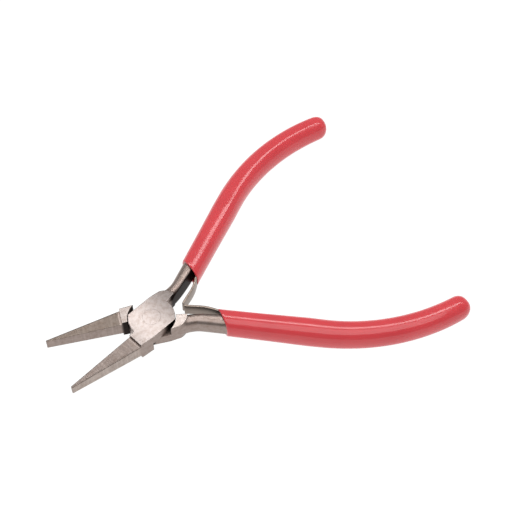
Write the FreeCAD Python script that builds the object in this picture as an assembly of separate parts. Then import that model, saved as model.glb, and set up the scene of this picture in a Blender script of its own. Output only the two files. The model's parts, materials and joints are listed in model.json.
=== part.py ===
import FreeCAD
import Part
import math
import os

# Flat nose jeweller's pliers: a two-lap joint, dipped grips and a pair of leaf springs.
# Millimetres. The origin is on the pivot axis, in the flat underside of the joint.
# +X runs along the tool from the pivot to the handles, and +Z is the pivot axis.
#
# Each half is drawn with the jaws shut, in its own "half frame": its jaw lies at -x just
# below the line y = 0, its handle at +x above that line, and its lap fills the upper half
# of the joint's thickness. The lower half is the same forging turned over about x.

# Joint
rest_opening = 31.4          # angle between the jaws at rest, degrees
widest_opening = 37.4        # angle between the jaws when pulled open by hand, degrees
joint_thickness = 7.0
joint_width = 11.5
lap_radius = 7.25            # rounded ends of each lap, about the pivot
lap_side_gap = 0.2           # between a lap's rounded end and the other half's shoulder
lap_face_gap = 0.1           # between the two sliding lap faces
rivet_radius = 2.0
rivet_head_radius = 2.8      # countersunk ends, ground flush
rivet_head_depth = 0.8
rivet_clearance = 0.05       # running fit in the upper half

# Jaws
jaw_reach = 32.8             # pivot to jaw tip
jaw_root = 9.2               # pivot to the step where the jaw begins
jaw_root_width = 5.3
jaw_overlap = 1.0            # hidden length of the jaw inside its shoulder
jaw_tip_width = 0.7
jaw_root_thickness = 4.8
jaw_tip_thickness = 3.4
jaw_face_relief = 0.05       # each gripping face stands this far back from y = 0
jaw_edge_radius = 0.35

# Handles and dipped grips
handle_flare = 21.4          # angle of the straight part of a handle, degrees
flare_start = 7.9            # where that line would cross the tool axis
straight_length = 45.2       # from flare_start to the bend
bend_radius = 65.0
bend_angle = 42.0
core_width = 5.9             # the steel handle, under the grip
core_height = 6.4
core_corner = 2.0            # at most half the neck's width
grip_width = 7.5
grip_height = 8.4
grip_corner = 2.8
grip_end_width = 7.0         # the grip tapers to this along the bend
grip_end_height = 7.8
grip_end_wall = 3.2
grip_end_radius = 2.6
mouth_distance = 14.1        # dip line, along the centre line from flare_start
mouth_skew = 30.0            # the dip line is this far off square to the handle, degrees
mouth_bead = 0.3             # rounded rim of the dip
root_block_reach = 10.9      # where the joint's ground flat ends on the handle side
root_edge_drop = 0.45        # that flat's outer corner, inside the joint's side
root_gap = 0.9               # inner side of the handle root, from the tool axis
root_gap_spread = 0.6        # further from the axis at the end of the flat
root_bulge = 0.3
neck_taper = 6.0             # the root narrows towards the neck by this angle, degrees
neck_radius = 10.0

# Leaf springs
leaf_thickness = 0.7
leaf_height = 4.4
leaf_end = 9.6               # pivot to the leaf's free end, jaws shut
leaf_bow = 6.0               # turn of the leaf along its free length, degrees
leaf_tail = 2.4
leaf_rivet_from_mouth = 7.6  # along the handle
leaf_offset = 1.7            # from the handle's centre line, at the leaf's rivet
leaf_tip_gap = 0.1           # from the leaf's face to the tool axis
leaf_clearance = 0.12
leaf_tail_room = 0.4         # free length past the end of the tail
leaf_rivet_radius = 0.8
leaf_rivet_head_radius = 1.3
leaf_rivet_head_height = 0.4
leaf_rivet_depth = 2.0       # shank length inside the handle
leaf_rivet_rock = 0.25       # room for the leaf to rock on its rivet

half_thickness = joint_thickness / 2
half_opening = rest_opening / 2
shoulder_radius = lap_radius + lap_side_gap
core_half_width = core_width / 2
core_turn = bend_angle - math.degrees(grip_end_wall / bend_radius)
shoulder_edge = 0.6 * lap_radius     # where the joint's straight sides end
origin = FreeCAD.Vector(0, 0, 0)
up = FreeCAD.Vector(0, 0, 1)


def point(x, y, z=0.0):
    return FreeCAD.Vector(x, y, z)


def turned(vector, degrees, centre=origin):
    """The point turned about the vertical line through centre."""
    angle = math.radians(degrees)
    away = vector - centre
    return centre + point(
        away.x * math.cos(angle) - away.y * math.sin(angle),
        away.x * math.sin(angle) + away.y * math.cos(angle),
        away.z,
    )


def direction(degrees):
    return turned(point(1, 0), degrees)


def prism(edges, low, high):
    """A closed plan outline, given as points or edges in order, raised from low to high."""
    face = Part.Face(Part.Wire(edges))
    face.translate(point(0, 0, low))
    return face.extrude(point(0, 0, high - low))


def line(start, end):
    return Part.LineSegment(start, end).toShape()


def arc(start, middle, end):
    return Part.Arc(start, middle, end).toShape()


def chain(points):
    """Straight edges through the points, closed back to the first."""
    return [line(a, b) for a, b in zip(points, points[1:] + points[:1])]


def cylinder(radius, low, high):
    return Part.makeCylinder(radius, high - low, point(0, 0, low))


# The handle's centre line: a straight flare, then one long bend back towards the axis.
flare = direction(handle_flare)
outward = direction(handle_flare + 90)
flare_origin = point(flare_start, 0)
bend_start = flare_origin + flare * straight_length
bend_centre = bend_start - outward * bend_radius


def beside(offset, turn):
    """A point on the bend, turned from its start, with an offset away from the axis."""
    spoke = direction(handle_flare + 90 - turn)
    return bend_centre + spoke * (bend_radius + offset)


def along_flare(distance, offset=0.0):
    return flare_origin + flare * distance + outward * offset


# The leaf spring's pivot and its angles in the half frame. The leaf's free end touches the
# tool axis both at rest and with the jaws shut, which gives its share of the joint's turn.
leaf_pivot = along_flare(mouth_distance + leaf_rivet_from_mouth, -leaf_offset)
leaf_drop = leaf_pivot.y - leaf_thickness / 2 - leaf_tip_gap
leaf_chord = math.hypot(leaf_pivot.x - leaf_end, leaf_drop)


def chord_angle(pivot):
    """Slope of the leaf's chord, in degrees, when its free end touches the tool axis."""
    drop = pivot.y - leaf_thickness / 2 - leaf_tip_gap
    return math.degrees(math.asin(drop / leaf_chord))


leaf_shut = chord_angle(leaf_pivot)
leaf_rest = chord_angle(turned(leaf_pivot, half_opening)) - half_opening
leaf_ratio = (leaf_rest - leaf_shut) / rest_opening
leaf_widest = leaf_rest + leaf_ratio * (widest_opening - rest_opening)


def leaf_curve(slope, offset):
    """Free end, middle and pivot of the leaf's curve, and its tail's end, moved sideways."""
    radius = leaf_chord / 2 / math.sin(math.radians(leaf_bow / 2))
    along = direction(slope)
    across = direction(slope + 90)
    centre = leaf_pivot - along * (leaf_chord / 2)
    centre = centre + across * math.sqrt(radius ** 2 - (leaf_chord / 2) ** 2)
    reach = radius - offset
    half = leaf_bow / 2
    tip = centre + direction(slope - 90 - half) * reach
    middle = centre + direction(slope - 90) * reach
    root = centre + direction(slope - 90 + half) * reach
    tail = root + direction(slope + half) * leaf_tail
    return tip, middle, root, tail


def leaf_outline(inner_slope, outer_slope, grow):
    """Plan outline of the leaf, or of the room it needs between two slopes, grown all round."""
    offset = leaf_thickness / 2 + grow
    tip, middle, root, tail = leaf_curve(inner_slope, -offset)
    far_tip, far_middle, far_root, far_tail = leaf_curve(outer_slope, offset)
    if inner_slope != outer_slope:
        tail = leaf_curve(outer_slope, -offset)[3]
        far_tail = leaf_curve(inner_slope, offset)[3]
    tail = tail + flare * grow
    far_tail = far_tail + flare * grow
    return [
        arc(tip, middle, root),
        line(root, tail),
        line(tail, far_tail),
        line(far_tail, far_root),
        arc(far_root, far_middle, far_tip),
        line(far_tip, tip),
    ]


def leaf_room():
    """Plan outline cut from the handle so that it stands clear of the leaf at every slope."""
    offset = leaf_thickness / 2 + leaf_clearance
    far_tip, far_middle, far_root, _ = leaf_curve(leaf_shut, offset)
    far_tail = leaf_curve(leaf_widest, offset)[3] + flare * leaf_tail_room
    inward = outward * -core_width
    return [
        arc(far_tip, far_middle, far_root),
        line(far_root, far_tail),
        line(far_tail, far_tail + inward),
        line(far_tail + inward, far_tip + inward),
        line(far_tip + inward, far_tip),
    ]


def lap():
    """The rounded plate that slides on the other half's plate."""
    round_ends = cylinder(lap_radius, lap_face_gap / 2, half_thickness)
    sides = Part.makeBox(
        4 * lap_radius, joint_width, half_thickness,
        point(-2 * lap_radius, -joint_width / 2, 0),
    )
    return round_ends.common(sides)


def jaw_shoulder():
    """Full-thickness block between the lap and the jaw."""
    side = joint_width / 2
    return prism(chain([
        point(-jaw_root, -jaw_face_relief),
        point(-jaw_root, -jaw_root_width),
        point(-shoulder_edge, -side),
        point(0, -side),
        point(0, -jaw_face_relief),
    ]), -half_thickness, half_thickness)


def handle_shoulder():
    """Full-thickness block between the lap and the handle, its flat ending in a curve."""
    side = joint_width / 2
    inner_end = point(root_block_reach, root_gap + root_gap_spread)
    outer_end = point(lap_radius + root_gap_spread, side - root_edge_drop)
    middle_x = (inner_end.x + outer_end.x) / 2
    bulge = point(middle_x + 2 * root_bulge, (inner_end.y + outer_end.y) / 2 + root_bulge)
    return prism([
        line(point(0, root_gap), point(lap_radius, root_gap)),
        line(point(lap_radius, root_gap), inner_end),
        arc(inner_end, bulge, outer_end),
        line(outer_end, point(shoulder_edge, side)),
        line(point(shoulder_edge, side), point(0, side)),
        line(point(0, side), point(0, root_gap)),
    ], -half_thickness, half_thickness)


def jaw():
    """Tapered flat jaw: the gripping face is the plane just below y = 0."""
    start = -jaw_root + jaw_overlap
    share = jaw_overlap / (jaw_reach - jaw_root)
    width = jaw_root_width + share * (jaw_root_width - jaw_tip_width)
    half = (jaw_root_thickness + share * (jaw_root_thickness - jaw_tip_thickness)) / 2
    plan = prism(chain([
        point(start, -jaw_face_relief),
        point(start, -width),
        point(-jaw_reach, -jaw_tip_width),
        point(-jaw_reach, -jaw_face_relief),
    ]), -half_thickness, half_thickness)
    profile = Part.Face(Part.Wire(chain([
        point(start, 0, -half),
        point(start, 0, half),
        point(-jaw_reach, 0, jaw_tip_thickness / 2),
        point(-jaw_reach, 0, -jaw_tip_thickness / 2),
    ])))
    solid = plan.common(profile.extrude(point(0, -joint_width, 0)))
    outer = [e for e in solid.Edges if is_outer_jaw_edge(e) or is_tip_corner(e)]
    return solid.makeFillet(jaw_edge_radius, outer)


def is_outer_jaw_edge(edge):
    """A long edge on the side of the jaw that faces away from the other jaw."""
    return edge.Length > jaw_reach / 2 and edge.CenterOfMass.y < -jaw_tip_width


def is_tip_corner(edge):
    """The upright edge where the jaw's outer side meets its end."""
    centre = edge.CenterOfMass
    upright = edge.BoundBox.ZLength > edge.BoundBox.YLength + edge.BoundBox.XLength
    return upright and centre.x < -jaw_reach + 0.1 and centre.y < -jaw_tip_width * 0.7


def handle():
    """Handle forging from the joint to its end: the neck, the flare and the bend."""
    side = joint_width / 2
    root_outer = point(shoulder_edge, side)
    taper = direction(-neck_taper)
    corner = meeting(root_outer, taper, along_flare(0, core_half_width), flare)
    run = neck_radius * math.tan(math.radians((handle_flare + neck_taper) / 2))
    neck_start = corner - taper * run
    neck_end = corner + flare * run
    neck_centre = neck_end + outward * neck_radius
    neck_middle = neck_centre + (corner - neck_centre).normalize() * neck_radius
    outer_end = beside(core_half_width, core_turn)
    inner_end = beside(-core_half_width, core_turn)
    solid = prism([
        line(point(shoulder_edge, root_gap), root_outer),
        line(root_outer, neck_start),
        arc(neck_start, neck_middle, neck_end),
        line(neck_end, beside(core_half_width, 0)),
        arc(beside(core_half_width, 0), beside(core_half_width, core_turn / 2), outer_end),
        line(outer_end, inner_end),
        arc(inner_end, beside(-core_half_width, core_turn / 2), beside(-core_half_width, 0)),
        line(beside(-core_half_width, 0), inner_corner()),
        line(inner_corner(), point(shoulder_edge, root_gap)),
    ], -core_height / 2, core_height / 2)
    long_edges = [e for e in solid.Edges if is_rounded_handle_edge(e)]
    neck_width = corner.y - root_gap
    return solid.makeFillet(min(core_corner, neck_width / 2), long_edges)


def meeting(start, along, other_start, other_along):
    """Where two lines in the plan cross."""
    gap = other_start - start
    cross = along.x * other_along.y - along.y * other_along.x
    distance = (gap.x * other_along.y - gap.y * other_along.x) / cross
    return start + along * distance


def inner_corner():
    """Where the handle's inner side leaves the tool axis."""
    return meeting(point(0, root_gap), point(1, 0), along_flare(0, -core_half_width), flare)


def is_rounded_handle_edge(edge):
    """A level edge along the handle's outline, between the joint's middle and its end."""
    box = edge.BoundBox
    at_end = (edge.CenterOfMass - beside(0, core_turn)).Length < core_width
    return box.ZLength < 0.01 and box.XMax > shoulder_edge + 0.01 and not at_end


def forging():
    """One half of the pliers: jaw, shoulders, lap and handle."""
    solid = jaw_shoulder().fuse([handle_shoulder(), handle(), lap()])
    pocket = cylinder(shoulder_radius, -joint_thickness, lap_face_gap / 2)
    solid = solid.cut(pocket).fuse(jaw())
    room = prism(leaf_room(), -joint_thickness, joint_thickness)
    return solid.cut(room).removeSplitter()


def rivet(radius, head_radius, head_depth):
    """Pivot rivet with both ends countersunk and ground flush."""
    profile = Part.makePolygon([
        point(0, 0, -half_thickness),
        point(head_radius, 0, -half_thickness),
        point(radius, 0, -half_thickness + head_depth),
        point(radius, 0, half_thickness - head_depth),
        point(head_radius, 0, half_thickness),
        point(0, 0, half_thickness),
        point(0, 0, -half_thickness),
    ])
    return Part.Face(profile).revolve(origin, up, 360)


def rounded_section(width, height, corner, centre, across):
    """A rounded rectangle standing across the handle's centre line."""
    w = width / 2 - corner
    h = height / 2 - corner
    r = corner
    d = corner * math.sqrt(0.5)

    def at(sideways, upward):
        return centre + across * sideways + up * upward

    return Part.Wire([
        line(at(-w, h + r), at(w, h + r)),
        arc(at(w, h + r), at(w + d, h + d), at(w + r, h)),
        line(at(w + r, h), at(w + r, -h)),
        arc(at(w + r, -h), at(w + d, -h - d), at(w, -h - r)),
        line(at(w, -h - r), at(-w, -h - r)),
        arc(at(-w, -h - r), at(-w - d, -h - d), at(-w - r, -h)),
        line(at(-w - r, -h), at(-w - r, h)),
        arc(at(-w - r, h), at(-w - d, h + d), at(-w, h + r)),
    ])


def grip(metal):
    """Dipped grip: a skin over the handle, cut at the dip line, open for the leaf."""
    start = along_flare(mouth_distance - grip_width)
    end = beside(0, bend_angle)
    spine = Part.Wire([
        line(start, bend_start),
        arc(bend_start, beside(0, bend_angle / 2), end),
    ])
    spoke = direction(handle_flare - bend_angle + 90)
    full = rounded_section(grip_width, grip_height, grip_corner, start, outward)
    tapered = rounded_section(grip_end_width, grip_end_height, grip_corner, end, spoke)
    skin = spine.makePipeShell([full, tapered], True, True)
    end_rim = [e for e in skin.Edges if is_end_rim(e)]
    skin = skin.makeFillet(grip_end_radius, end_rim)
    skin = skin.cut(beyond_mouth())
    rim = [e for e in skin.Edges if on_mouth_plane(e)]
    skin = skin.makeFillet(mouth_bead, rim)
    slot_half = leaf_height / 2 + leaf_clearance
    slot = prism(leaf_outline(leaf_widest, leaf_shut, leaf_clearance), -slot_half, slot_half)
    return skin.cut([metal, slot, leaf_rivet_room()])


def beyond_mouth():
    """Everything on the joint's side of the dip line."""
    size = 2 * jaw_reach
    box = Part.makeBox(size, size, size, point(-size, -size / 2, -size / 2))
    box.rotate(origin, up, handle_flare - mouth_skew)
    box.translate(along_flare(mouth_distance))
    return box


def is_end_rim(edge):
    """An edge of the skin's flat far end."""
    end = beside(0, bend_angle)
    away = direction(handle_flare - bend_angle)
    return all(abs((v.Point - end).dot(away)) < 0.01 for v in edge.Vertexes)


def on_mouth_plane(edge):
    """An edge in the plane of the dip line."""
    normal = direction(handle_flare - mouth_skew)
    centre = along_flare(mouth_distance)
    return all(abs((v.Point - centre).dot(normal)) < 0.01 for v in edge.Vertexes)


def leaf_spring():
    """Leaf with a hole for its rivet, drawn at its rest slope."""
    solid = prism(leaf_outline(leaf_rest, leaf_rest, 0), -leaf_height / 2, leaf_height / 2)
    hole = leaf_pin(leaf_rivet_radius + leaf_rivet_rock, -leaf_thickness, leaf_thickness)
    return solid.cut(hole)


def leaf_pin(radius, start, end):
    """A round bar through the leaf's pivot, square to the handle, from start to end."""
    return Part.makeCylinder(radius, end - start, leaf_pivot + outward * start, outward)


def leaf_rivet():
    """Small rivet that holds the leaf against the handle, with its head under the grip."""
    head_start = -leaf_thickness / 2 - leaf_rivet_rock - leaf_rivet_head_height
    head = leaf_pin(leaf_rivet_head_radius, head_start, head_start + leaf_rivet_head_height)
    shank = leaf_pin(leaf_rivet_radius, head_start, leaf_thickness / 2 + leaf_rivet_depth)
    return head.fuse(shank).removeSplitter()


def leaf_rivet_room():
    start = -leaf_thickness / 2 - leaf_rivet_rock - leaf_rivet_head_height
    return leaf_pin(leaf_rivet_head_radius, start, 0)


def placed(shape, upper):
    """From the half frame to the tool at rest; the lower half is turned over first."""
    shape = shape.copy()
    if not upper:
        shape.rotate(origin, point(1, 0, 0), 180)
    shape.rotate(origin, up, half_opening if upper else -half_opening)
    shape.translate(up * half_thickness)
    return shape


def main():
    os.makedirs("parts", exist_ok=True)
    leaf_pin_hole = leaf_pin(leaf_rivet_radius, 0, leaf_thickness / 2 + leaf_rivet_depth)
    blank = forging().cut(leaf_pin_hole)
    metal = blank.fuse(leaf_pin_hole)
    loose_rivet = rivet(
        rivet_radius + rivet_clearance,
        rivet_head_radius + rivet_clearance,
        rivet_head_depth,
    )
    tight_rivet = rivet(rivet_radius, rivet_head_radius, rivet_head_depth)
    nodes = {
        "upper_half": placed(blank.cut(loose_rivet), True),
        "lower_half": placed(blank.cut(tight_rivet), False),
        "pivot_rivet": placed(tight_rivet, True),
    }
    for name, upper in (("upper", True), ("lower", False)):
        nodes[name + "_grip"] = placed(grip(metal), upper)
        nodes[name + "_leaf_spring"] = placed(leaf_spring(), upper)
        nodes[name + "_leaf_rivet"] = placed(leaf_rivet(), upper)
    for name, shape in nodes.items():
        shape.exportStep("parts/" + name + ".step")
        print(name, shape.isValid(), len(shape.Solids), round(shape.Volume, 2))
    print("leaf pivot", turned(leaf_pivot, half_opening), "ratio", round(leaf_ratio, 5))
    print("leaf slopes shut, rest, widest", leaf_shut, leaf_rest, leaf_widest)


main()
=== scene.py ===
"""Flat nose pliers with dipped grips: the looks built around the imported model.

Sizes in the dataclass fields are in millimetres unless a comment says otherwise, and become
metres when a mesh or a node is made.
"""

import json
import logging
import math
from dataclasses import dataclass, field
from enum import Enum
from typing import Any

import bmesh
import bpy
import numpy as np
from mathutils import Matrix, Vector

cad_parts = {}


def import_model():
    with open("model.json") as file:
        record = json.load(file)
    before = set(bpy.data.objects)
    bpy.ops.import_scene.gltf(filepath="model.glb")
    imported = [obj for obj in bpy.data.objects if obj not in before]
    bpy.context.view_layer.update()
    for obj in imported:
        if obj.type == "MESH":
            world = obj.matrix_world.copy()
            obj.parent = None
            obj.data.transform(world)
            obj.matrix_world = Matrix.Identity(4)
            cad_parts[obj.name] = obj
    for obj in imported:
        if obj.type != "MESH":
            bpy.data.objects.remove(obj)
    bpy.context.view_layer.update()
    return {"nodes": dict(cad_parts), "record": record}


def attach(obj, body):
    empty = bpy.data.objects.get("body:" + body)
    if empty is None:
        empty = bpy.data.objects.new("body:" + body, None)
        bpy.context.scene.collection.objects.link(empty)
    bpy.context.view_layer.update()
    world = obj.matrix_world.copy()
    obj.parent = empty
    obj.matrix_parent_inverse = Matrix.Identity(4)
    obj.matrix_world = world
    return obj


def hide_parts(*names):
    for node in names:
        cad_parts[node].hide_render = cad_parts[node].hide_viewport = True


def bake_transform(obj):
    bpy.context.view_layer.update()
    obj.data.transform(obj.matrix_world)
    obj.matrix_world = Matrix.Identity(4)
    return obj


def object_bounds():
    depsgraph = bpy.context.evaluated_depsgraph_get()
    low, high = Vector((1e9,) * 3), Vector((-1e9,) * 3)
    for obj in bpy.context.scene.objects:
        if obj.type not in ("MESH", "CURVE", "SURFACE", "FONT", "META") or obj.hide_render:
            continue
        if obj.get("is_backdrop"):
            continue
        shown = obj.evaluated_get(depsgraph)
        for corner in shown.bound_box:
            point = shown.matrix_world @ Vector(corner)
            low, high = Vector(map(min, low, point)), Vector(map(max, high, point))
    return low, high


MM = 0.001
RAYS = 8  # cast at each point by a node that looks round it
LOG = logging.getLogger("pliers")
Socket = bpy.types.NodeSocket


class Side(Enum):
    """The two halves of the tool, by which lap is uppermost."""

    UPPER = "upper"
    LOWER = "lower"

    @property
    def sign(self) -> int:
        """+1 for the half whose handle lies at +y, -1 for the one turned over."""
        return 1 if self is Side.UPPER else -1


# --------------------------------------------------------------------------- small helpers


def linear(colour: str) -> tuple[float, float, float, float]:
    """Turns an sRGB hex colour into linear RGBA.

    Args:
        colour: The colour as "#RRGGBB".

    Returns:
        Linear red, green and blue, with an alpha of 1.
    """
    parts = [int(colour[i : i + 2], 16) / 255 for i in (1, 3, 5)]
    light = [c / 12.92 if c <= 0.04045 else ((c + 0.055) / 1.055) ** 2.4 for c in parts]
    return (light[0], light[1], light[2], 1.0)


def add(tree: bpy.types.NodeTree, kind: str, inputs: dict[Any, Any], **settings: Any) -> Any:
    """Adds a node to a tree, with its settings and its inputs.

    Args:
        tree: The node tree.
        kind: The node's type, such as "ShaderNodeTexNoise".
        inputs: Values or output sockets by input name or number.
        settings: Attributes of the node.

    Returns:
        The new node.
    """
    node = tree.nodes.new(kind)
    for name, value in settings.items():
        setattr(node, name, value)
    for name, value in inputs.items():
        if isinstance(value, Socket):
            tree.links.new(value, node.inputs[name])
        else:
            node.inputs[name].default_value = value
    return node


def new_material(name: str) -> tuple[bpy.types.Material, bpy.types.NodeTree]:
    """Makes an empty node material.

    Args:
        name: The material's name.

    Returns:
        The material and its node tree.
    """
    material = bpy.data.materials.new(name)
    material.use_nodes = True
    material.node_tree.nodes.clear()
    return material, material.node_tree


def link(name: str, data: bpy.types.ID) -> bpy.types.Object:
    """Puts data into the scene as an object at the origin.

    Args:
        name: The object's name.
        data: Its mesh, light or camera.

    Returns:
        The object.
    """
    thing = bpy.data.objects.new(name, data)
    bpy.context.scene.collection.objects.link(thing)
    return thing


def mesh_object(name: str, points: np.ndarray, faces: list[tuple[int, ...]]) -> bpy.types.Object:
    """Makes a smooth mesh object at the origin from points in millimetres.

    Args:
        name: The object's name.
        points: One row of x, y, z for each point.
        faces: Point numbers of each face.

    Returns:
        The linked object.
    """
    mesh = bpy.data.meshes.new(name)
    mesh.from_pydata((points * MM).tolist(), [], faces)
    shell = bmesh.new()
    shell.from_mesh(mesh)
    bmesh.ops.remove_doubles(shell, verts=shell.verts, dist=1e-7)
    bmesh.ops.recalc_face_normals(shell, faces=shell.faces)
    shell.to_mesh(mesh)
    shell.free()
    mesh.shade_smooth()
    return link(name, mesh)


def dress(piece: bpy.types.Object, material: bpy.types.Material) -> None:
    """Gives a piece one material in all its slots.

    Args:
        piece: The piece.
        material: The material.
    """
    if not piece.material_slots:
        piece.data.materials.append(material)
    for slot in piece.material_slots:
        slot.material = material


# --------------------------------------------------------------------------- finishes


@dataclass
class SteelZones:
    """Masks over one half: sockets that are 1 inside a zone and fade to 0 outside it.

    Distances run along the line through jaw and handle, from the pivot. The jaw lies on the
    negative side.
    """

    tree: bpy.types.NodeTree
    jaw_angle: float                                 # of that line, radians; its sign is the handle's side
    jaw_start: float                                 # from the pivot to the jaw's root, mm
    half_thickness: float                            # half the joint's thickness, mm
    jaw_fade: tuple[float, float] = (0.2, 0.8)       # past the jaw's root, mm
    handle_fade: tuple[float, float] = (-1.0, 0.5)   # past the neck's root, mm
    joint_fade: tuple[float, float] = (0.2, 0.1)     # inside the joint's flats, mm
    throat_fade: float = 0.4                         # either side of the jaw's root, mm
    throat_end: float = -1.0                         # the throat fades out from here to the pivot, mm
    level_fade: tuple[float, float] = (0.55, 0.97)   # how level a face lies, 1 at most
    side_fade: tuple[float, float] = (0.3, 0.75)     # how squarely a face looks sideways, 1 at most

    def __post_init__(self) -> None:
        """Adds the coordinates and the masks that several zones share."""
        place = add(self.tree, "ShaderNodeTexCoord", {})
        self.here: Socket = place.outputs["Object"]
        self.normal: Socket = place.outputs["Normal"]
        self.along: Socket = add(self.tree, "ShaderNodeMapping", {
            "Vector": self.here, "Rotation": (0, 0, -self.jaw_angle),
        }).outputs[0]
        self.distance: Socket = add(self.tree, "ShaderNodeSeparateXYZ", {
            "Vector": self.along,
        }).outputs["X"]
        self.on_jaw: Socket = add(self.tree, "ShaderNodeMapRange", {
            "Value": self.distance,
            "From Min": -(self.jaw_start + self.jaw_fade[0]) * MM,
            "From Max": -(self.jaw_start + self.jaw_fade[1]) * MM,
        }).outputs[0]
        self.on_handle: Socket = add(self.tree, "ShaderNodeMapRange", {
            "Value": self.distance,
            "From Min": (self.jaw_start + self.handle_fade[0]) * MM,
            "From Max": (self.jaw_start + self.handle_fade[1]) * MM,
        }).outputs[0]
        self.on_joint: Socket = self.joint_flats()
        self.looks_in: Socket = self.sideways(1)

    def joint_flats(self) -> Socket:
        """Adds the mask of the thin layers at the joint's two flats.

        Returns:
            The mask's socket.
        """
        height = add(self.tree, "ShaderNodeSeparateXYZ", {"Vector": self.here})
        above = add(self.tree, "ShaderNodeMath", {
            0: height.outputs["Z"], 1: self.half_thickness * MM,
        }, operation="SUBTRACT")
        reach = add(self.tree, "ShaderNodeMath", {0: above.outputs[0]}, operation="ABSOLUTE")
        return add(self.tree, "ShaderNodeMapRange", {
            "Value": reach.outputs[0],
            "From Min": (self.half_thickness - self.joint_fade[0]) * MM,
            "From Max": (self.half_thickness - self.joint_fade[1]) * MM,
        }).outputs[0]

    def sideways(self, sign: int) -> Socket:
        """Adds the mask of the faces that look to one side.

        Args:
            sign: 1 for the way that the handle's inner side and the jaw's outer side look,
                -1 for the opposite way.

        Returns:
            The mask's socket.
        """
        handle_side = math.copysign(1.0, self.jaw_angle)
        inward = add(self.tree, "ShaderNodeVectorMath", {
            0: self.normal,
            1: (math.sin(self.jaw_angle) * handle_side, -math.cos(self.jaw_angle) * handle_side, 0.0),
        }, operation="DOT_PRODUCT")
        return add(self.tree, "ShaderNodeMapRange", {
            "Value": inward.outputs["Value"],
            "From Min": sign * self.side_fade[0], "From Max": sign * self.side_fade[1],
        }).outputs[0]

    def ground(self) -> Socket:
        """Adds the mask of the level faces of joint and jaw, which the belt has ground.

        Returns:
            The mask's socket.
        """
        worked = add(self.tree, "ShaderNodeMath", {
            0: self.on_joint, 1: self.on_jaw,
        }, operation="MAXIMUM")
        facing = add(self.tree, "ShaderNodeSeparateXYZ", {"Vector": self.normal})
        level = add(self.tree, "ShaderNodeMath", {0: facing.outputs["Z"]}, operation="ABSOLUTE")
        lies_flat = add(self.tree, "ShaderNodeMapRange", {
            "Value": level.outputs[0],
            "From Min": self.level_fade[0], "From Max": self.level_fade[1],
        })
        return add(self.tree, "ShaderNodeMath", {
            0: worked.outputs[0], 1: lies_flat.outputs[0],
        }, operation="MULTIPLY").outputs[0]

    def painted_shade_zone(self) -> Socket:
        """Adds the mask of the handle's inner side and of the throat, where shade is painted dark.

        Returns:
            The mask's socket.
        """
        handle_inside = add(self.tree, "ShaderNodeMath", {
            0: self.looks_in, 1: self.on_handle,
        }, operation="MULTIPLY")
        past_root = add(self.tree, "ShaderNodeMapRange", {
            "Value": self.distance,
            "From Min": -(self.jaw_start + self.throat_fade) * MM,
            "From Max": -(self.jaw_start - self.throat_fade) * MM,
        })
        before_pivot = add(self.tree, "ShaderNodeMapRange", {
            "Value": self.distance, "From Min": self.throat_end * MM, "From Max": 0.0,
            "To Min": 1.0, "To Max": 0.0,
        })
        throat = add(self.tree, "ShaderNodeMath", {
            0: past_root.outputs[0], 1: before_pivot.outputs[0],
        }, operation="MULTIPLY")
        throat_wall = add(self.tree, "ShaderNodeMath", {
            0: self.sideways(-1), 1: throat.outputs[0],
        }, operation="MULTIPLY")
        return add(self.tree, "ShaderNodeMath", {
            0: handle_inside.outputs[0], 1: throat_wall.outputs[0],
        }, operation="MAXIMUM").outputs[0]

    def jaw_outside(self) -> Socket:
        """Adds the mask of the jaw's outer side, and returns its socket."""
        return add(self.tree, "ShaderNodeMath", {
            0: self.looks_in, 1: self.on_jaw,
        }, operation="MULTIPLY").outputs[0]

    def neck(self) -> Socket:
        """Adds the mask of the handle without the joint's flats, and returns its socket."""
        return add(self.tree, "ShaderNodeMath", {
            0: self.on_handle, 1: self.on_joint,
        }, operation="SUBTRACT", use_clamp=True).outputs[0]


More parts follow.
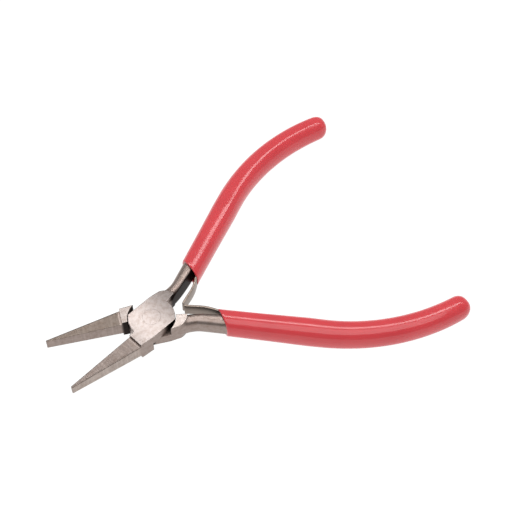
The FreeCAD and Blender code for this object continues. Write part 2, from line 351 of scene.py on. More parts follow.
@dataclass(frozen=True)
class GroundSteel:
    """Drop-forged tool steel, its flats ground on a belt and its sides left satin.

    The flats are bright and faintly mottled, the sides browner and duller, and the jaws
    carry fine grinding lines across their length. The handle's inner side and the throat
    are painted nearly black and without shine, as painted shade, and an occlusion node
    paints shade into the recesses.
    """

    name: str
    flats: str = "#A69C98"
    skin: str = "#998A83"
    stain: str = "#C4B4A8"                           # multiplies the steel in cloudy patches
    jaw: str = "#716762"
    jaw_side: str = "#AB9E96"                        # outer side of the jaw, lighter than the other sides
    # painted shade: near-black colour of the handle's inner side and the throat
    scale: str = "#2C2320"
    painted_shade_matt: float = 0.6                          # share of the painted shade that is matt and reflects nothing
    flat_roughness: float = 0.30
    skin_roughness: float = 0.36
    roughness_swing: float = 0.12                    # between the grit's smooth and rough spots
    mottle_mm: float = 1.4                           # size of the cloudy patches the belt leaves
    mottle_fade: tuple[float, float] = (0.42, 0.72)  # noise where a patch starts and is fullest
    mottle_share: float = 0.5                        # how far the stain covers the fullest patch
    grit_mm: float = 0.32                            # real grit is finer; as coarse as it can show
    line_mm: float = 0.55                            # spacing of the grinding lines, coarse likewise
    line_reach_mm: float = 7.0                       # length of one grinding line
    line_rise: float = 60.0                          # changes of the lines in a metre of height
    line_fade: tuple[float, float] = (0.3, 0.7)      # noise of the darkest and the brightest line
    line_tone: tuple[float, float] = (0.87, 1.09)    # what those two multiply the colour by
    recess_mm: float = 3.5                           # how far into a recess the painted shade reaches
    occlusion_shade_fade: tuple[float, float] = (0.15, 0.62)    # openness where the painted shade is full, and gone
    occlusion_shade_tone: float = 0.12                          # what the full painted shade multiplies the colour by
    edge_mm: float = 0.22                            # softened edges
    neck_edge_mm: float = 1.6                        # the necks are linished rounder
    rivet_fade: tuple[float, float] = (3.1, 3.5)     # no edge is softened within this of the pivot, mm
    crown_mm: float = 80.0                           # radius of the crowned flats, below 0 if hollow
    scratch_mm: float = 0.03                         # depth of the scratches
    scratch_strength: float = 0.10

    def colour(self, zones: SteelZones, ground: Socket, painted_shade_zone: Socket, lines: Socket) -> Socket:
        """Adds the steel's colour.

        Args:
            zones: The half's masks.
            ground: Mask of the ground faces.
            painted_shade_zone: Mask of the faces painted dark as shade.
            lines: Noise of the grinding lines.

        Returns:
            The colour's socket.
        """
        tree = zones.tree
        belt = add(tree, "ShaderNodeMix", {
            0: zones.on_jaw, 6: linear(self.flats), 7: linear(self.jaw),
        }, data_type="RGBA")
        bare = add(tree, "ShaderNodeMix", {
            0: zones.jaw_outside(), 6: linear(self.skin), 7: linear(self.jaw_side),
        }, data_type="RGBA")
        # Painted shade: the handle's inner side and the throat take the near-black colour.
        skin = add(tree, "ShaderNodeMix", {
            0: painted_shade_zone, 6: bare.outputs[2], 7: linear(self.scale),
        }, data_type="RGBA")
        steel = add(tree, "ShaderNodeMix", {
            0: ground, 6: skin.outputs[2], 7: belt.outputs[2],
        }, data_type="RGBA")
        mottle = add(tree, "ShaderNodeTexNoise", {
            "Vector": zones.here, "Scale": 1 / (self.mottle_mm * MM), "Detail": 4.0, "Roughness": 0.6,
        })
        cloud = add(tree, "ShaderNodeMapRange", {
            "Value": mottle.outputs["Fac"], "From Min": self.mottle_fade[0],
            "From Max": self.mottle_fade[1], "To Max": self.mottle_share,
        })
        stained = add(tree, "ShaderNodeMix", {
            0: cloud.outputs[0], 6: steel.outputs[2], 7: linear(self.stain),
        }, data_type="RGBA", blend_type="MULTIPLY")
        streak = add(tree, "ShaderNodeMapRange", {
            "Value": lines, "From Min": self.line_fade[0], "From Max": self.line_fade[1],
            "To Min": self.line_tone[0], "To Max": self.line_tone[1],
        })
        jaw_streak = add(tree, "ShaderNodeMix", {0: zones.on_jaw, 2: 1.0, 3: streak.outputs[0]})
        streaked = add(tree, "ShaderNodeVectorMath", {
            0: stained.outputs[2], "Scale": jaw_streak.outputs[0],
        }, operation="SCALE")
        # Painted shade: an occlusion node darkens the colour in recesses.
        openness = add(tree, "ShaderNodeAmbientOcclusion", {
            "Distance": self.recess_mm * MM,
        }, samples=RAYS)
        occlusion_shade = add(tree, "ShaderNodeMapRange", {
            "Value": openness.outputs["AO"], "From Min": self.occlusion_shade_fade[0],
            "From Max": self.occlusion_shade_fade[1], "To Min": self.occlusion_shade_tone,
        })
        return add(tree, "ShaderNodeVectorMath", {
            0: streaked.outputs[0], "Scale": occlusion_shade.outputs[0],
        }, operation="SCALE").outputs[0]

    def roughness(self, tree: bpy.types.NodeTree, ground: Socket, grit: Socket) -> Socket:
        """Adds the steel's roughness.

        Args:
            tree: The material's tree.
            ground: Mask of the ground faces.
            grit: Noise of the grit.

        Returns:
            The roughness's socket.
        """
        base = add(tree, "ShaderNodeMix", {0: ground, 2: self.skin_roughness, 3: self.flat_roughness})
        gritty = add(tree, "ShaderNodeMath", {
            0: grit, 1: self.roughness_swing, 2: base.outputs[0],
        }, operation="MULTIPLY_ADD")
        return add(tree, "ShaderNodeMath", {
            0: gritty.outputs[0], 1: self.roughness_swing / 2,
        }, operation="SUBTRACT").outputs[0]

    def softened(self, zones: SteelZones) -> Socket:
        """Adds a normal that rounds the edges, more at the neck and none at the pivot rivet.

        Args:
            zones: The half's masks.

        Returns:
            The normal's socket.
        """
        tree = zones.tree
        flush = add(tree, "ShaderNodeVectorMath", {
            0: zones.here, 1: (1.0, 1.0, 0.0),
        }, operation="MULTIPLY")
        from_pivot = add(tree, "ShaderNodeVectorMath", {0: flush.outputs[0]}, operation="LENGTH")
        edge = add(tree, "ShaderNodeMapRange", {
            "Value": from_pivot.outputs["Value"], "From Min": self.rivet_fade[0] * MM,
            "From Max": self.rivet_fade[1] * MM, "To Max": self.edge_mm * MM,
        })
        radius = add(tree, "ShaderNodeMix", {
            0: zones.neck(), 2: edge.outputs[0], 3: self.neck_edge_mm * MM,
        })
        return add(tree, "ShaderNodeBevel", {"Radius": radius.outputs[0]}, samples=RAYS).outputs[0]

    def relief(self, zones: SteelZones, grit: Socket, lines: Socket) -> Socket:
        """Adds the surface's normal: softened edges, crowned flats and scratches.

        Args:
            zones: The half's masks.
            grit: Noise of the grit, for the scratches everywhere but on the jaw.
            lines: Noise of the grinding lines, for the scratches on the jaw.

        Returns:
            The normal's socket.
        """
        tree = zones.tree
        squared = add(tree, "ShaderNodeMath", {
            0: zones.distance, 1: zones.distance,
        }, operation="MULTIPLY")
        sag = add(tree, "ShaderNodeMath", {
            0: squared.outputs[0], 1: -0.5 / (self.crown_mm * MM),
        }, operation="MULTIPLY")
        joint_sag = add(tree, "ShaderNodeMath", {
            0: sag.outputs[0], 1: zones.on_joint,
        }, operation="MULTIPLY")
        crown = add(tree, "ShaderNodeBump", {
            "Strength": 1.0, "Distance": 1.0, "Height": joint_sag.outputs[0],
            "Normal": self.softened(zones),
        })
        scratch = add(tree, "ShaderNodeMix", {0: zones.on_jaw, 2: grit, 3: lines})
        return add(tree, "ShaderNodeBump", {
            "Strength": self.scratch_strength, "Distance": self.scratch_mm * MM,
            "Height": scratch.outputs[0], "Normal": crown.outputs[0],
        }).outputs[0]

    def build(self, jaw_angle: float, jaw_start: float, half_thickness: float) -> bpy.types.Material:
        """Builds the steel for one half.

        Args:
            jaw_angle: Angle of the jaw's line from -x, in radians, so the lines cross it. Its
                sign is also the side the handle lies on.
            jaw_start: Distance from the pivot to the root of the jaw, in millimetres.
            half_thickness: Half the joint's thickness, in millimetres.

        Returns:
            The material.
        """
        material, tree = new_material(self.name)
        zones = SteelZones(tree, jaw_angle, jaw_start, half_thickness)
        ground, painted_shade_zone = zones.ground(), zones.painted_shade_zone()
        grit = add(tree, "ShaderNodeTexNoise", {
            "Vector": zones.here, "Scale": 1 / (self.grit_mm * MM), "Detail": 2.0, "Roughness": 0.55,
        }).outputs["Fac"]
        stretch = add(tree, "ShaderNodeMapping", {
            "Vector": zones.along,
            "Scale": (1 / (self.line_mm * MM), 1 / (self.line_reach_mm * MM), self.line_rise),
        })
        lines = add(tree, "ShaderNodeTexNoise", {
            "Vector": stretch.outputs[0], "Scale": 1.0, "Detail": 1.0, "Roughness": 0.5,
        }).outputs["Fac"]
        metal = add(tree, "ShaderNodeBsdfPrincipled", {
            "Base Color": self.colour(zones, ground, painted_shade_zone, lines), "Metallic": 1.0,
            "Roughness": self.roughness(tree, ground, grit),
            "Normal": self.relief(zones, grit, lines),
        })
        # Painted shade: part of the dark zone is a matt diffuse that reflects nothing.
        matt = add(tree, "ShaderNodeBsdfDiffuse", {"Color": linear(self.scale)})
        matt_share = add(tree, "ShaderNodeMath", {0: painted_shade_zone, 1: self.painted_shade_matt}, operation="MULTIPLY")
        surface = add(tree, "ShaderNodeMixShader", {
            0: matt_share.outputs[0], 1: metal.outputs[0], 2: matt.outputs[0],
        })
        add(tree, "ShaderNodeOutputMaterial", {"Surface": surface.outputs[0]})
        return material


@dataclass(frozen=True)
class SpringSteel:
    """Spring steel strip, rolled and tempered: satin and brownish, with lines along it."""

    name: str = "tempered_spring_steel"
    colour: str = "#9A8C82"
    dark: str = "#756A62"
    roughness: float = 0.36
    roughness_swing: float = 0.12  # between the lines' smooth and rough parts
    line_mm: float = 0.3           # spacing of the rolling lines, drawn coarse enough to show
    line_run: float = 120.0        # changes of a line in a metre of its length
    line_depth_mm: float = 0.03
    line_strength: float = 0.12

    def build(self) -> bpy.types.Material:
        """Builds the strip's material."""
        material, tree = new_material(self.name)
        place = add(tree, "ShaderNodeTexCoord", {})
        stretch = add(tree, "ShaderNodeMapping", {
            "Vector": place.outputs["Object"],
            "Scale": (self.line_run, self.line_run, 1 / (self.line_mm * MM)),
        })
        lines = add(tree, "ShaderNodeTexNoise", {
            "Vector": stretch.outputs[0], "Scale": 1.0, "Detail": 3.0, "Roughness": 0.65,
        })
        tone = add(tree, "ShaderNodeMix", {
            0: lines.outputs["Fac"], 6: linear(self.dark), 7: linear(self.colour),
        }, data_type="RGBA")
        rough = add(tree, "ShaderNodeMath", {
            0: lines.outputs["Fac"], 1: self.roughness_swing,
            2: self.roughness - self.roughness_swing / 2,
        }, operation="MULTIPLY_ADD")
        bump = add(tree, "ShaderNodeBump", {
            "Strength": self.line_strength, "Distance": self.line_depth_mm * MM,
            "Height": lines.outputs["Fac"],
        })
        surface = add(tree, "ShaderNodeBsdfPrincipled", {
            "Base Color": tone.outputs[2], "Metallic": 1.0,
            "Roughness": rough.outputs[0], "Normal": bump.outputs[0],
        })
        add(tree, "ShaderNodeOutputMaterial", {"Surface": surface.outputs[0]})
        return material


@dataclass(frozen=True)
class DippedVinyl:
    """Plastisol vinyl from a hot dip: glossy, faintly translucent, smooth with soft waves.

    The waves are where the dip ran while it gelled, and they make the highlight wander.
    """

    name: str = "dipped_red_vinyl"
    colour: str = "#DE474D"
    deep: str = "#D03E45"
    roughness: float = 0.14
    roughness_swing: float = 0.08  # between smooth and rough dimples
    ior: float = 1.53
    wave_mm: float = 9.0
    wave_height_mm: float = 0.3
    wave_strength: float = 0.14
    dimple_mm: float = 0.9
    dimple_height_mm: float = 0.02
    dimple_strength: float = 0.02
    scatter: float = 0.12          # share of the light that passes under the surface
    scatter_mm: float = 1.2
    scatter_colours: tuple[float, float, float] = (1.0, 0.25, 0.2)  # how far red, green and blue go

    def build(self) -> bpy.types.Material:
        """Builds the vinyl."""
        material, tree = new_material(self.name)
        place = add(tree, "ShaderNodeTexCoord", {})
        here = place.outputs["Object"]
        wave = add(tree, "ShaderNodeTexNoise", {
            "Vector": here, "Scale": 1 / (self.wave_mm * MM), "Detail": 1.0,
        })
        dimple = add(tree, "ShaderNodeTexNoise", {
            "Vector": here, "Scale": 1 / (self.dimple_mm * MM), "Detail": 2.0,
        })
        tone = add(tree, "ShaderNodeMix", {
            0: wave.outputs["Fac"], 6: linear(self.deep), 7: linear(self.colour),
        }, data_type="RGBA")
        rough = add(tree, "ShaderNodeMath", {
            0: dimple.outputs["Fac"], 1: self.roughness_swing,
            2: self.roughness - self.roughness_swing / 2,
        }, operation="MULTIPLY_ADD")
        broad = add(tree, "ShaderNodeBump", {
            "Strength": self.wave_strength, "Distance": self.wave_height_mm * MM,
            "Height": wave.outputs["Fac"],
        })
        fine = add(tree, "ShaderNodeBump", {
            "Strength": self.dimple_strength, "Distance": self.dimple_height_mm * MM,
            "Height": dimple.outputs["Fac"], "Normal": broad.outputs[0],
        })
        surface = add(tree, "ShaderNodeBsdfPrincipled", {
            "Base Color": tone.outputs[2], "Roughness": rough.outputs[0], "IOR": self.ior,
            "Subsurface Weight": self.scatter, "Subsurface Radius": self.scatter_colours,
            "Subsurface Scale": self.scatter_mm * MM, "Normal": fine.outputs[0],
        })
        add(tree, "ShaderNodeOutputMaterial", {"Surface": surface.outputs[0]})
        return material


# --------------------------------------------------------------------------- the tool


@dataclass
class ToolFrame:
    """Where the halves stand at rest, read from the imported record."""

    middle: float      # height of the joint's middle plane, mm
    half_angle: float  # half the angle between the jaws, radians

    @classmethod
    def from_record(cls, record: dict[str, Any]) -> "ToolFrame":
        """Reads the middle plane and the opening from the record's mounts.

        Args:
            record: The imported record.

        Returns:
            The tool's frame.
        """
        mounts = {m["name"]: m for m in record["mounts"]}
        top = mounts["joint_top"]["pos_m"][2] / MM
        face = mounts["upper_half_jaw_face"]["axis"]
        return cls(middle=top / 2, half_angle=math.atan2(-face[0], face[1]))

    def place(self, points: np.ndarray, side: Side) -> np.ndarray:
        """Moves points drawn for the upper half, jaws shut, to a half at rest.

        Args:
            points: Rows of x, y, z in millimetres, with z = 0 in the middle plane.
            side: Which half they belong to.

        Returns:
            The points in the row frame, in millimetres.
        """
        turned = points * np.array([1.0, side.sign, side.sign])
        angle = side.sign * self.half_angle
        x = turned[:, 0] * math.cos(angle) - turned[:, 1] * math.sin(angle)
        y = turned[:, 0] * math.sin(angle) + turned[:, 1] * math.cos(angle)
        return np.column_stack([x, y, turned[:, 2] + self.middle])


@dataclass
class Forgings:
    """The two steel halves and the rivets, which keep their modelled shape.

    The halves are ground by hand, so tone and crown differ a little from one to the other.
    The lower jaw's darker tone is partly that and partly painted shade, for a top that
    reflects less light.
    """

    frame: ToolFrame
    jaw_start: float = 9.2  # from the pivot to the jaw's root
    finishes: dict[Side, GroundSteel] = field(default_factory=lambda: {
        Side.UPPER: GroundSteel(name="ground_tool_steel_upper"),
        # lower jaw darker: partly duller grinding, partly painted shade
        Side.LOWER: GroundSteel(name="ground_tool_steel_lower", flats="#A89E99", jaw="#6A6059",
                                crown_mm=-90.0),
    })

    def dress(self, nodes: dict[str, bpy.types.Object]) -> None:
        """Gives each steel node its finish.

        Args:
            nodes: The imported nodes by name.
        """
        for side in Side:
            steel = self.finishes[side]
            finish = steel.build(side.sign * self.frame.half_angle, self.jaw_start, self.frame.middle)
            dress(nodes[f"{side.value}_half"], finish)
            dress(nodes[f"{side.value}_leaf_rivet"], finish)
            if side is Side.UPPER:
                dress(nodes["pivot_rivet"], finish)


@dataclass
class Grip:
    """One dipped grip: a skin over the handle with a rounded rim, a palm swell and a domed end."""

    frame: ToolFrame
    side: Side
    flare_angle: float = 21.4        # of the handle's straight part from the tool's axis, degrees
    flare_start: float = 7.9         # from the pivot to where that part's line crosses the axis
    mouth: float = 14.1              # from that crossing to the grip's mouth
    straight: float = 45.2           # from that crossing to the start of the bend
    bend_radius: float = 65.0
    bend_angle: float = 42.0         # degrees
    mouth_skew: float = 30.0         # slant of the mouth, degrees
    skew_reach: float = 9.0          # length over which the slant fades out
    wall: float = 0.85
    rim: float = 0.3                 # length over which the rim is rounded
    throat: float = 5.0              # depth to which the inner wall is modelled
    throat_start: float = 0.4        # where it begins, behind the rim
    dome: float = 3.6                # length of the domed end
    dome_fullness: float = 0.62      # below 1 the dome is blunter than an ellipse
    squareness: float = 2.4          # 2 is an ellipse, more is squarer
    profile: tuple[tuple[float, float, float], ...] = (  # share of length, half width, half height
        (0.0, 3.72, 4.16), (0.15, 3.82, 4.26), (0.34, 4.05, 4.5), (0.48, 3.92, 4.35),
        (0.70, 3.86, 4.28), (0.88, 3.76, 4.14), (1.0, 3.6, 3.95),
    )
    slanted_part: tuple[float, float] = (1.0, 12.0)  # outer rings that are closer set, from the mouth
    plain_start: float = 13.0                        # first of the other outer rings
    around: int = 88                 # points in a ring
    throat_rings: int = 6
    rim_rings: int = 9
    slanted_rings: int = 14
    plain_rings: int = 74
    dome_rings: int = 16

    def half_sizes(self, share: float) -> tuple[float, float]:
        """Half width and half height of the grip at a share of its length.

        Args:
            share: 0 at the mouth, 1 at the end.

        Returns:
            Half width and half height, in millimetres.
        """
        shares, widths, heights = zip(*self.profile)
        return float(np.interp(share, shares, widths)), float(np.interp(share, shares, heights))

    def length(self) -> float:
        """Length of the grip along its centre line."""
        return self.straight - self.mouth + self.bend_radius * math.radians(self.bend_angle)

    def station(self, distance: float) -> tuple[np.ndarray, float]:
        """A point on the centre line and the line's direction there.

        Args:
            distance: From the mouth, along the centre line.

        Returns:
            The point in the closed half's plan, and the direction in radians.
        """
        flare = math.radians(self.flare_angle)
        run = self.straight - self.mouth
        ahead = np.array([math.cos(flare), math.sin(flare)])
        start = np.array([self.flare_start, 0.0]) + ahead * self.mouth
        if distance <= run:
            return start + ahead * distance, flare
        aside = np.array([-math.sin(flare), math.cos(flare)])
        centre = start + ahead * run - aside * self.bend_radius
        angle = flare - (distance - run) / self.bend_radius
        return centre + self.bend_radius * np.array([-math.sin(angle), math.cos(angle)]), angle

    def mouth_slope(self, distance: float) -> float:
        """Slope of a ring's plane near the mouth, fading out along the grip."""
        fade = max(0.0, 1 - max(distance, 0.0) / self.skew_reach)
        return math.tan(math.radians(self.mouth_skew)) * fade * fade * (3 - 2 * fade)

    def ring(self, distance: float, inset: float = 0.0, scale: float = 1.0) -> np.ndarray:
        """One ring of points round the centre line.

        Args:
            distance: From the mouth, along the centre line.
            inset: How far the ring lies inside the outer surface.
            scale: Shrinks the ring towards the centre line, for the domed end.

        Returns:
            The ring's points for the upper half with the jaws shut.
        """
        share = min(max(distance / self.length(), 0.0), 1.0)
        width, height = self.half_sizes(share)
        centre, angle = self.station(distance)
        turn = np.linspace(0, 2 * math.pi, self.around, endpoint=False)
        flatness = (np.abs(np.cos(turn)) / (width - inset)) ** self.squareness
        flatness += (np.abs(np.sin(turn)) / (height - inset)) ** self.squareness
        radius = flatness ** (-1 / self.squareness) * scale
        sideways = radius * np.cos(turn)
        upward = radius * np.sin(turn)
        ahead = sideways * self.mouth_slope(distance)
        x = centre[0] - sideways * math.sin(angle) + ahead * math.cos(angle)
        y = centre[1] + sideways * math.cos(angle) + ahead * math.sin(angle)
        return np.column_stack([x, y, upward])

    def rings(self) -> list[np.ndarray]:
        """Draws the skin's rings, from inside the mouth, round its rim and on to the dome.

        Returns:
            The rings in order, for the upper half with the jaws shut.
        """
        rings = []
        for depth in np.linspace(self.throat, self.throat_start, self.throat_rings):
            rings.append(self.ring(depth, self.wall))
        for step in np.linspace(0, math.pi, self.rim_rings):
            inset = self.wall / 2 * (1 + math.cos(step))
            rings.append(self.ring(self.rim * (1 - math.sin(step)), inset))
        last = self.length() - self.dome
        for distance in np.linspace(*self.slanted_part, self.slanted_rings):
            rings.append(self.ring(distance))
        for distance in np.linspace(self.plain_start, last, self.plain_rings):
            rings.append(self.ring(distance))
        for step in np.linspace(0, math.pi / 2, self.dome_rings)[1:-1]:
            rings.append(self.ring(last + self.dome * math.sin(step),
                                   scale=math.cos(step) ** self.dome_fullness))
        return rings

    def build(self) -> bpy.types.Object:
        """Builds the grip's closed skin.

        Returns:
            The grip's object.
        """
        rings = self.rings()
        count = self.around
        faces: list[tuple[int, ...]] = [tuple(range(count))]
        for k in range(0, (len(rings) - 1) * count, count):
            for i in range(count):
                j = (i + 1) % count
                faces.append((k + i, k + j, k + count + j, k + count + i))
        pole, _ = self.station(self.length())
        points = np.vstack([*rings, [[pole[0], pole[1], 0.0]]])
        top = (len(rings) - 1) * count
        for i in range(count):
            faces.append((top + i, top + (i + 1) % count, len(points) - 1))
        name = f"{self.side.value}_dipped_grip"
        return mesh_object(name, self.frame.place(points, self.side), faces)


@dataclass
class LeafSpring:
    """A bowed strip that bends from its root under the grip to its free end on the tool axis."""

    frame: ToolFrame
    side: Side
    pivot: Vector                # the rivet's place, in metres
    chord: float = 20.0          # from the rivet to the free end
    bow: float = 6.0             # turn of the strip over that length, degrees
    tail: float = 2.4            # length of the root past the rivet
    thickness: float = 0.7
    height: float = 4.4
    tip_gap: float = 0.1         # between the free end and the tool's axis
    edge: float = 0.14           # radius of the long edges
    edge_points: int = 4
    bend_length: float = 11.0    # from the rivet to where the strip has bent fully
    belly: float = 0.6           # extra bow of the free part, towards the tool's axis
    belly_reach: float = 0.6     # share of the strip it takes up, from the free end
    steps: int = 40
    crease: float = 50.0         # edges turning more than this stay sharp, degrees

    def slope(self) -> float:
        """Angle of the strip's chord from the tool's axis, in radians."""
        root_y = abs(self.pivot.y) / MM
        return math.asin((root_y - self.thickness / 2 - self.tip_gap) / self.chord)

    def tree(self, finish: bpy.types.Material) -> bpy.types.NodeTree:
        """Builds the node tree that sweeps a rounded strip along an arc.

        Args:
            finish: The strip's material.

        Returns:
            The geometry node tree.
        """
        tree = bpy.data.node_groups.new("bowed_strip", "GeometryNodeTree")
        for name in ("Radius", "Start Angle", "Sweep Angle", "Thickness", "Height", "Edge"):
            tree.interface.new_socket(name, in_out="INPUT", socket_type="NodeSocketFloat")
        for name in ("Centre", "Belly"):
            tree.interface.new_socket(name, in_out="INPUT", socket_type="NodeSocketVector")
        tree.interface.new_socket("Geometry", in_out="OUTPUT", socket_type="NodeSocketGeometry")
        sizes = add(tree, "NodeGroupInput", {}).outputs
        arc = add(tree, "GeometryNodeCurveArc", {
            "Resolution": self.steps, "Radius": sizes["Radius"],
            "Start Angle": sizes["Start Angle"], "Sweep Angle": sizes["Sweep Angle"],
        })
        share = add(tree, "GeometryNodeSplineParameter", {})
        phase = add(tree, "ShaderNodeMapRange", {
            "Value": share.outputs["Factor"], "From Max": self.belly_reach, "To Max": math.pi,
        })
        wave = add(tree, "ShaderNodeMath", {0: phase.outputs[0]}, operation="SINE")
        swell = add(tree, "ShaderNodeMath", {0: wave.outputs[0], 1: wave.outputs[0]},
                    operation="MULTIPLY")
        push = add(tree, "ShaderNodeVectorMath", {
            0: sizes["Belly"], "Scale": swell.outputs[0],
        }, operation="SCALE")
        bowed = add(tree, "GeometryNodeSetPosition", {
            "Geometry": arc.outputs["Curve"], "Offset": push.outputs[0],
        })
        strip = add(tree, "GeometryNodeCurvePrimitiveQuadrilateral", {
            "Width": sizes["Thickness"], "Height": sizes["Height"],
        })
        soft = add(tree, "GeometryNodeFilletCurve", {
            "Curve": strip.outputs[0], "Radius": sizes["Edge"], "Count": self.edge_points,
        }, mode="POLY")
        swept = add(tree, "GeometryNodeCurveToMesh", {
            "Curve": bowed.outputs[0], "Profile Curve": soft.outputs[0], "Fill Caps": True,
        })
        moved = add(tree, "GeometryNodeTransform", {
            "Geometry": swept.outputs[0], "Translation": sizes["Centre"],
        })
        real = add(tree, "GeometryNodeRealizeInstances", {"Geometry": moved.outputs[0]})
        painted = add(tree, "GeometryNodeSetMaterial", {
            "Geometry": real.outputs[0], "Material": finish,
        })
        add(tree, "NodeGroupOutput", {"Geometry": painted.outputs[0]})
        return tree

    def inputs(self) -> dict[str, Any]:
        """Works out the node tree's inputs for this side.

        Returns:
            Values by input name, in metres and radians.
        """
        slope = self.slope()
        half_bow = math.radians(self.bow) / 2
        radius = self.chord / 2 / math.sin(half_bow)
        middle = np.array([
            self.pivot.x / MM - self.chord / 2 * math.cos(slope),
            abs(self.pivot.y) / MM - self.chord / 2 * math.sin(slope),
        ])
        rise = math.sqrt(radius**2 - (self.chord / 2) ** 2)
        centre = middle + rise * np.array([-math.sin(slope), math.cos(slope)])
        start = slope - math.pi / 2 - half_bow
        sweep = 2 * half_bow + self.tail / radius
        sign = self.side.sign
        return {
            "Radius": radius * MM, "Start Angle": sign * start, "Sweep Angle": sign * sweep,
            "Thickness": self.thickness * MM, "Height": self.height * MM, "Edge": self.edge * MM,
            "Centre": (centre[0] * MM, sign * centre[1] * MM, self.frame.middle * MM),
            "Belly": (self.belly * math.sin(slope) * MM, -sign * self.belly * math.cos(slope) * MM, 0.0),
        }

    def build(self, finish: bpy.types.Material) -> bpy.types.Object:
        """Builds the strip as a plain mesh at rest.

        Args:
            finish: The strip's material.

        Returns:
            The strip's object.
        """
        name = f"{self.side.value}_leaf_strip"
        carrier = link(name, bpy.data.meshes.new(name))
        modifier = carrier.modifiers.new("sweep", "NODES")
        modifier.node_group = self.tree(finish)
        values = self.inputs()
        for item in modifier.node_group.interface.items_tree:
            if item.in_out == "INPUT":
                modifier[item.identifier] = values[item.name]
        carrier.update_tag()
        bpy.context.view_layer.update()
        done = carrier.evaluated_get(bpy.context.evaluated_depsgraph_get())
        plain = bpy.data.meshes.new_from_object(done)
        carrier.modifiers.clear()
        carrier.data = plain
        plain.shade_smooth()
        plain.set_sharp_from_angle(angle=math.radians(self.crease))
        dress(carrier, finish)
        return carrier

    def bend_span(self) -> tuple[Vector, Vector]:
        """Finds where the strip bends.

        Returns:
            Where it starts to bend, at its rivet, and where it has bent fully, in metres.
        """
        slope = self.slope()
        back = Vector((-math.cos(slope), -self.side.sign * math.sin(slope), 0.0))
        return self.pivot.copy(), self.pivot + back * self.bend_length * MM


# --------------------------------------------------------------------------- the studio


@dataclass(frozen=True)
class SoftBox:
    """A rectangular light that is aimed at the tool."""

    name: str
    azimuth: float    # as seen from the tool, degrees
    elevation: float  # degrees
    distance: float   # metres
    width: float      # metres
    depth: float      # metres
    power: float      # watts

    def offset(self) -> Vector:
        """Where the light hangs, in metres from what it is aimed at."""
        azimuth, elevation = math.radians(self.azimuth), math.radians(self.elevation)
        return self.distance * Vector((
            math.cos(elevation) * math.cos(azimuth),
            math.cos(elevation) * math.sin(azimuth),
            math.sin(elevation),
        ))


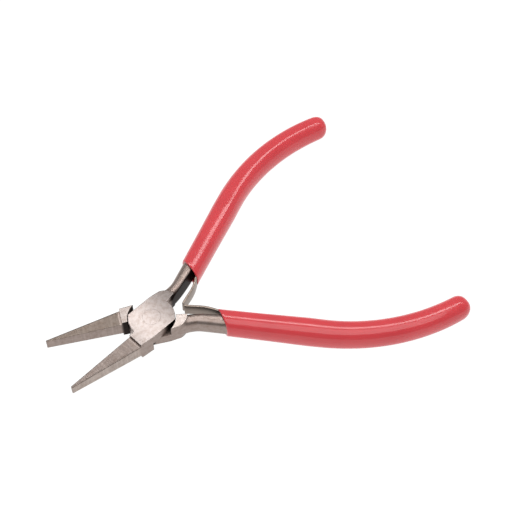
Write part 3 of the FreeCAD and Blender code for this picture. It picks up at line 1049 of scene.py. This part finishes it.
@dataclass
class Studio:
    """A white light table, soft boxes behind and above, and the camera."""

    target: tuple[float, float, float] = (40.37, 6.03, 3.5)
    eye: tuple[float, float, float] = (-74.82, -195.25, 332.6)
    lens: float = 88.31
    sensor: float = 36.0
    clip: tuple[float, float] = (0.01, 20.0)    # metres
    floor_size: float = 4.0                     # metres
    floor_gap: float = 0.1                      # between the table and the tool
    table_white: str = "#FFFFFF"
    table_grey: str = "#5A5A5A"
    table_glow: float = 1.0
    room_white: str = "#FFFFFF"
    room_light: tuple[float, float] = (0.52, 0.26)  # its strength all round, and behind the camera
    room_fade: tuple[float, float] = (0.2, 0.9)     # cosines from the camera's side it fades between
    boxes: tuple[SoftBox, ...] = (
        SoftBox("back_strip", azimuth=60.2, elevation=63.0, distance=0.9,
                width=1.3, depth=0.12, power=2.9),
        SoftBox("top_box", azimuth=-100.0, elevation=78.0, distance=1.0,
                width=1.0, depth=0.9, power=5.4),
    )

    def aim(self, thing: bpy.types.Object, eye: Vector, target: Vector) -> None:
        """Stands a camera or light at a point, looking at another."""
        thing.location = eye
        thing.rotation_euler = (target - eye).to_track_quat("-Z", "Y").to_euler()

    def camera(self) -> None:
        """Adds the camera."""
        data = bpy.data.cameras.new("view")
        data.lens = self.lens
        data.sensor_width = self.sensor
        data.clip_start, data.clip_end = self.clip
        rig = link("view", data)
        self.aim(rig, Vector(self.eye) * MM, Vector(self.target) * MM)
        bpy.context.scene.camera = rig

    def floor(self, lowest: float) -> None:
        """Adds the light table under the tool.

        Args:
            lowest: Height of the tool's lowest point, in metres.
        """
        half = self.floor_size / 2
        height = lowest - self.floor_gap * MM
        corners = np.array([[-half, -half, height], [half, -half, height],
                            [half, half, height], [-half, half, height]]) / MM
        table = mesh_object("light_table", corners, [(0, 1, 2, 3)])
        material, tree = new_material("white_light_table")
        matt = add(tree, "ShaderNodeBsdfDiffuse", {"Color": linear(self.table_grey)})
        glow = add(tree, "ShaderNodeEmission", {
            "Color": linear(self.table_white), "Strength": self.table_glow,
        })
        both = add(tree, "ShaderNodeAddShader", {0: matt.outputs[0], 1: glow.outputs[0]})
        add(tree, "ShaderNodeOutputMaterial", {"Surface": both.outputs[0]})
        dress(table, material)
        table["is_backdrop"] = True

    def room(self) -> None:
        """Adds the pale room all round, darker behind the camera so that steel shows depth."""
        world = bpy.data.worlds.new("pale_room")
        bpy.context.scene.world = world
        world.use_nodes = True
        tree = world.node_tree
        tree.nodes.clear()
        toward = (Vector(self.eye) - Vector(self.target)).normalized()
        place = add(tree, "ShaderNodeTexCoord", {})
        facing = add(tree, "ShaderNodeVectorMath", {
            0: place.outputs["Generated"], 1: tuple(toward),
        }, operation="DOT_PRODUCT")
        shade = add(tree, "ShaderNodeMapRange", {
            "Value": facing.outputs["Value"],
            "From Min": self.room_fade[0], "From Max": self.room_fade[1],
            "To Min": self.room_light[0], "To Max": self.room_light[1],
        })
        glow = add(tree, "ShaderNodeBackground", {
            "Color": linear(self.room_white), "Strength": shade.outputs[0],
        })
        add(tree, "ShaderNodeOutputWorld", {"Surface": glow.outputs[0]})

    def lights(self) -> None:
        """Adds the soft boxes."""
        target = Vector(self.target) * MM
        for box in self.boxes:
            data = bpy.data.lights.new(box.name, "AREA")
            data.shape = "RECTANGLE"
            data.size, data.size_y = box.width, box.depth
            data.energy = box.power
            self.aim(link(box.name, data), target + box.offset(), target)


def main() -> None:
    """Builds the tool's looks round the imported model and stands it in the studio."""
    logging.basicConfig(level=logging.INFO, format="%(message)s")
    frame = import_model()
    nodes, record = frame["nodes"], frame["record"]
    tool = ToolFrame.from_record(record)
    bpy.context.scene.view_settings.view_transform = "Standard"

    Forgings(tool).dress(nodes)
    LOG.info("forgings and rivets dressed")

    vinyl = DippedVinyl().build()
    strip_steel = SpringSteel().build()
    pivots = {j["name"]: Vector(j["pos_m"]) for j in record["behaviour"]["joints"]}
    for side in Side:
        grip = Grip(tool, side).build()
        dress(grip, vinyl)
        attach(grip, side.value)
        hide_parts(f"{side.value}_grip")
        LOG.info("%s: %d faces", grip.name, len(grip.data.polygons))
        leaf = LeafSpring(tool, side, pivots[f"{side.value}_leaf_flex"])
        strip = leaf.build(strip_steel)
        start, end = leaf.bend_span()
        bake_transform(strip)
        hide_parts(f"{side.value}_leaf_spring")
        LOG.info("%s: %d faces", strip.name, len(strip.data.polygons))

    studio = Studio()
    studio.camera()
    studio.room()
    studio.lights()
    studio.floor(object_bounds()[0][2])


if __name__ == "__main__":
    main()
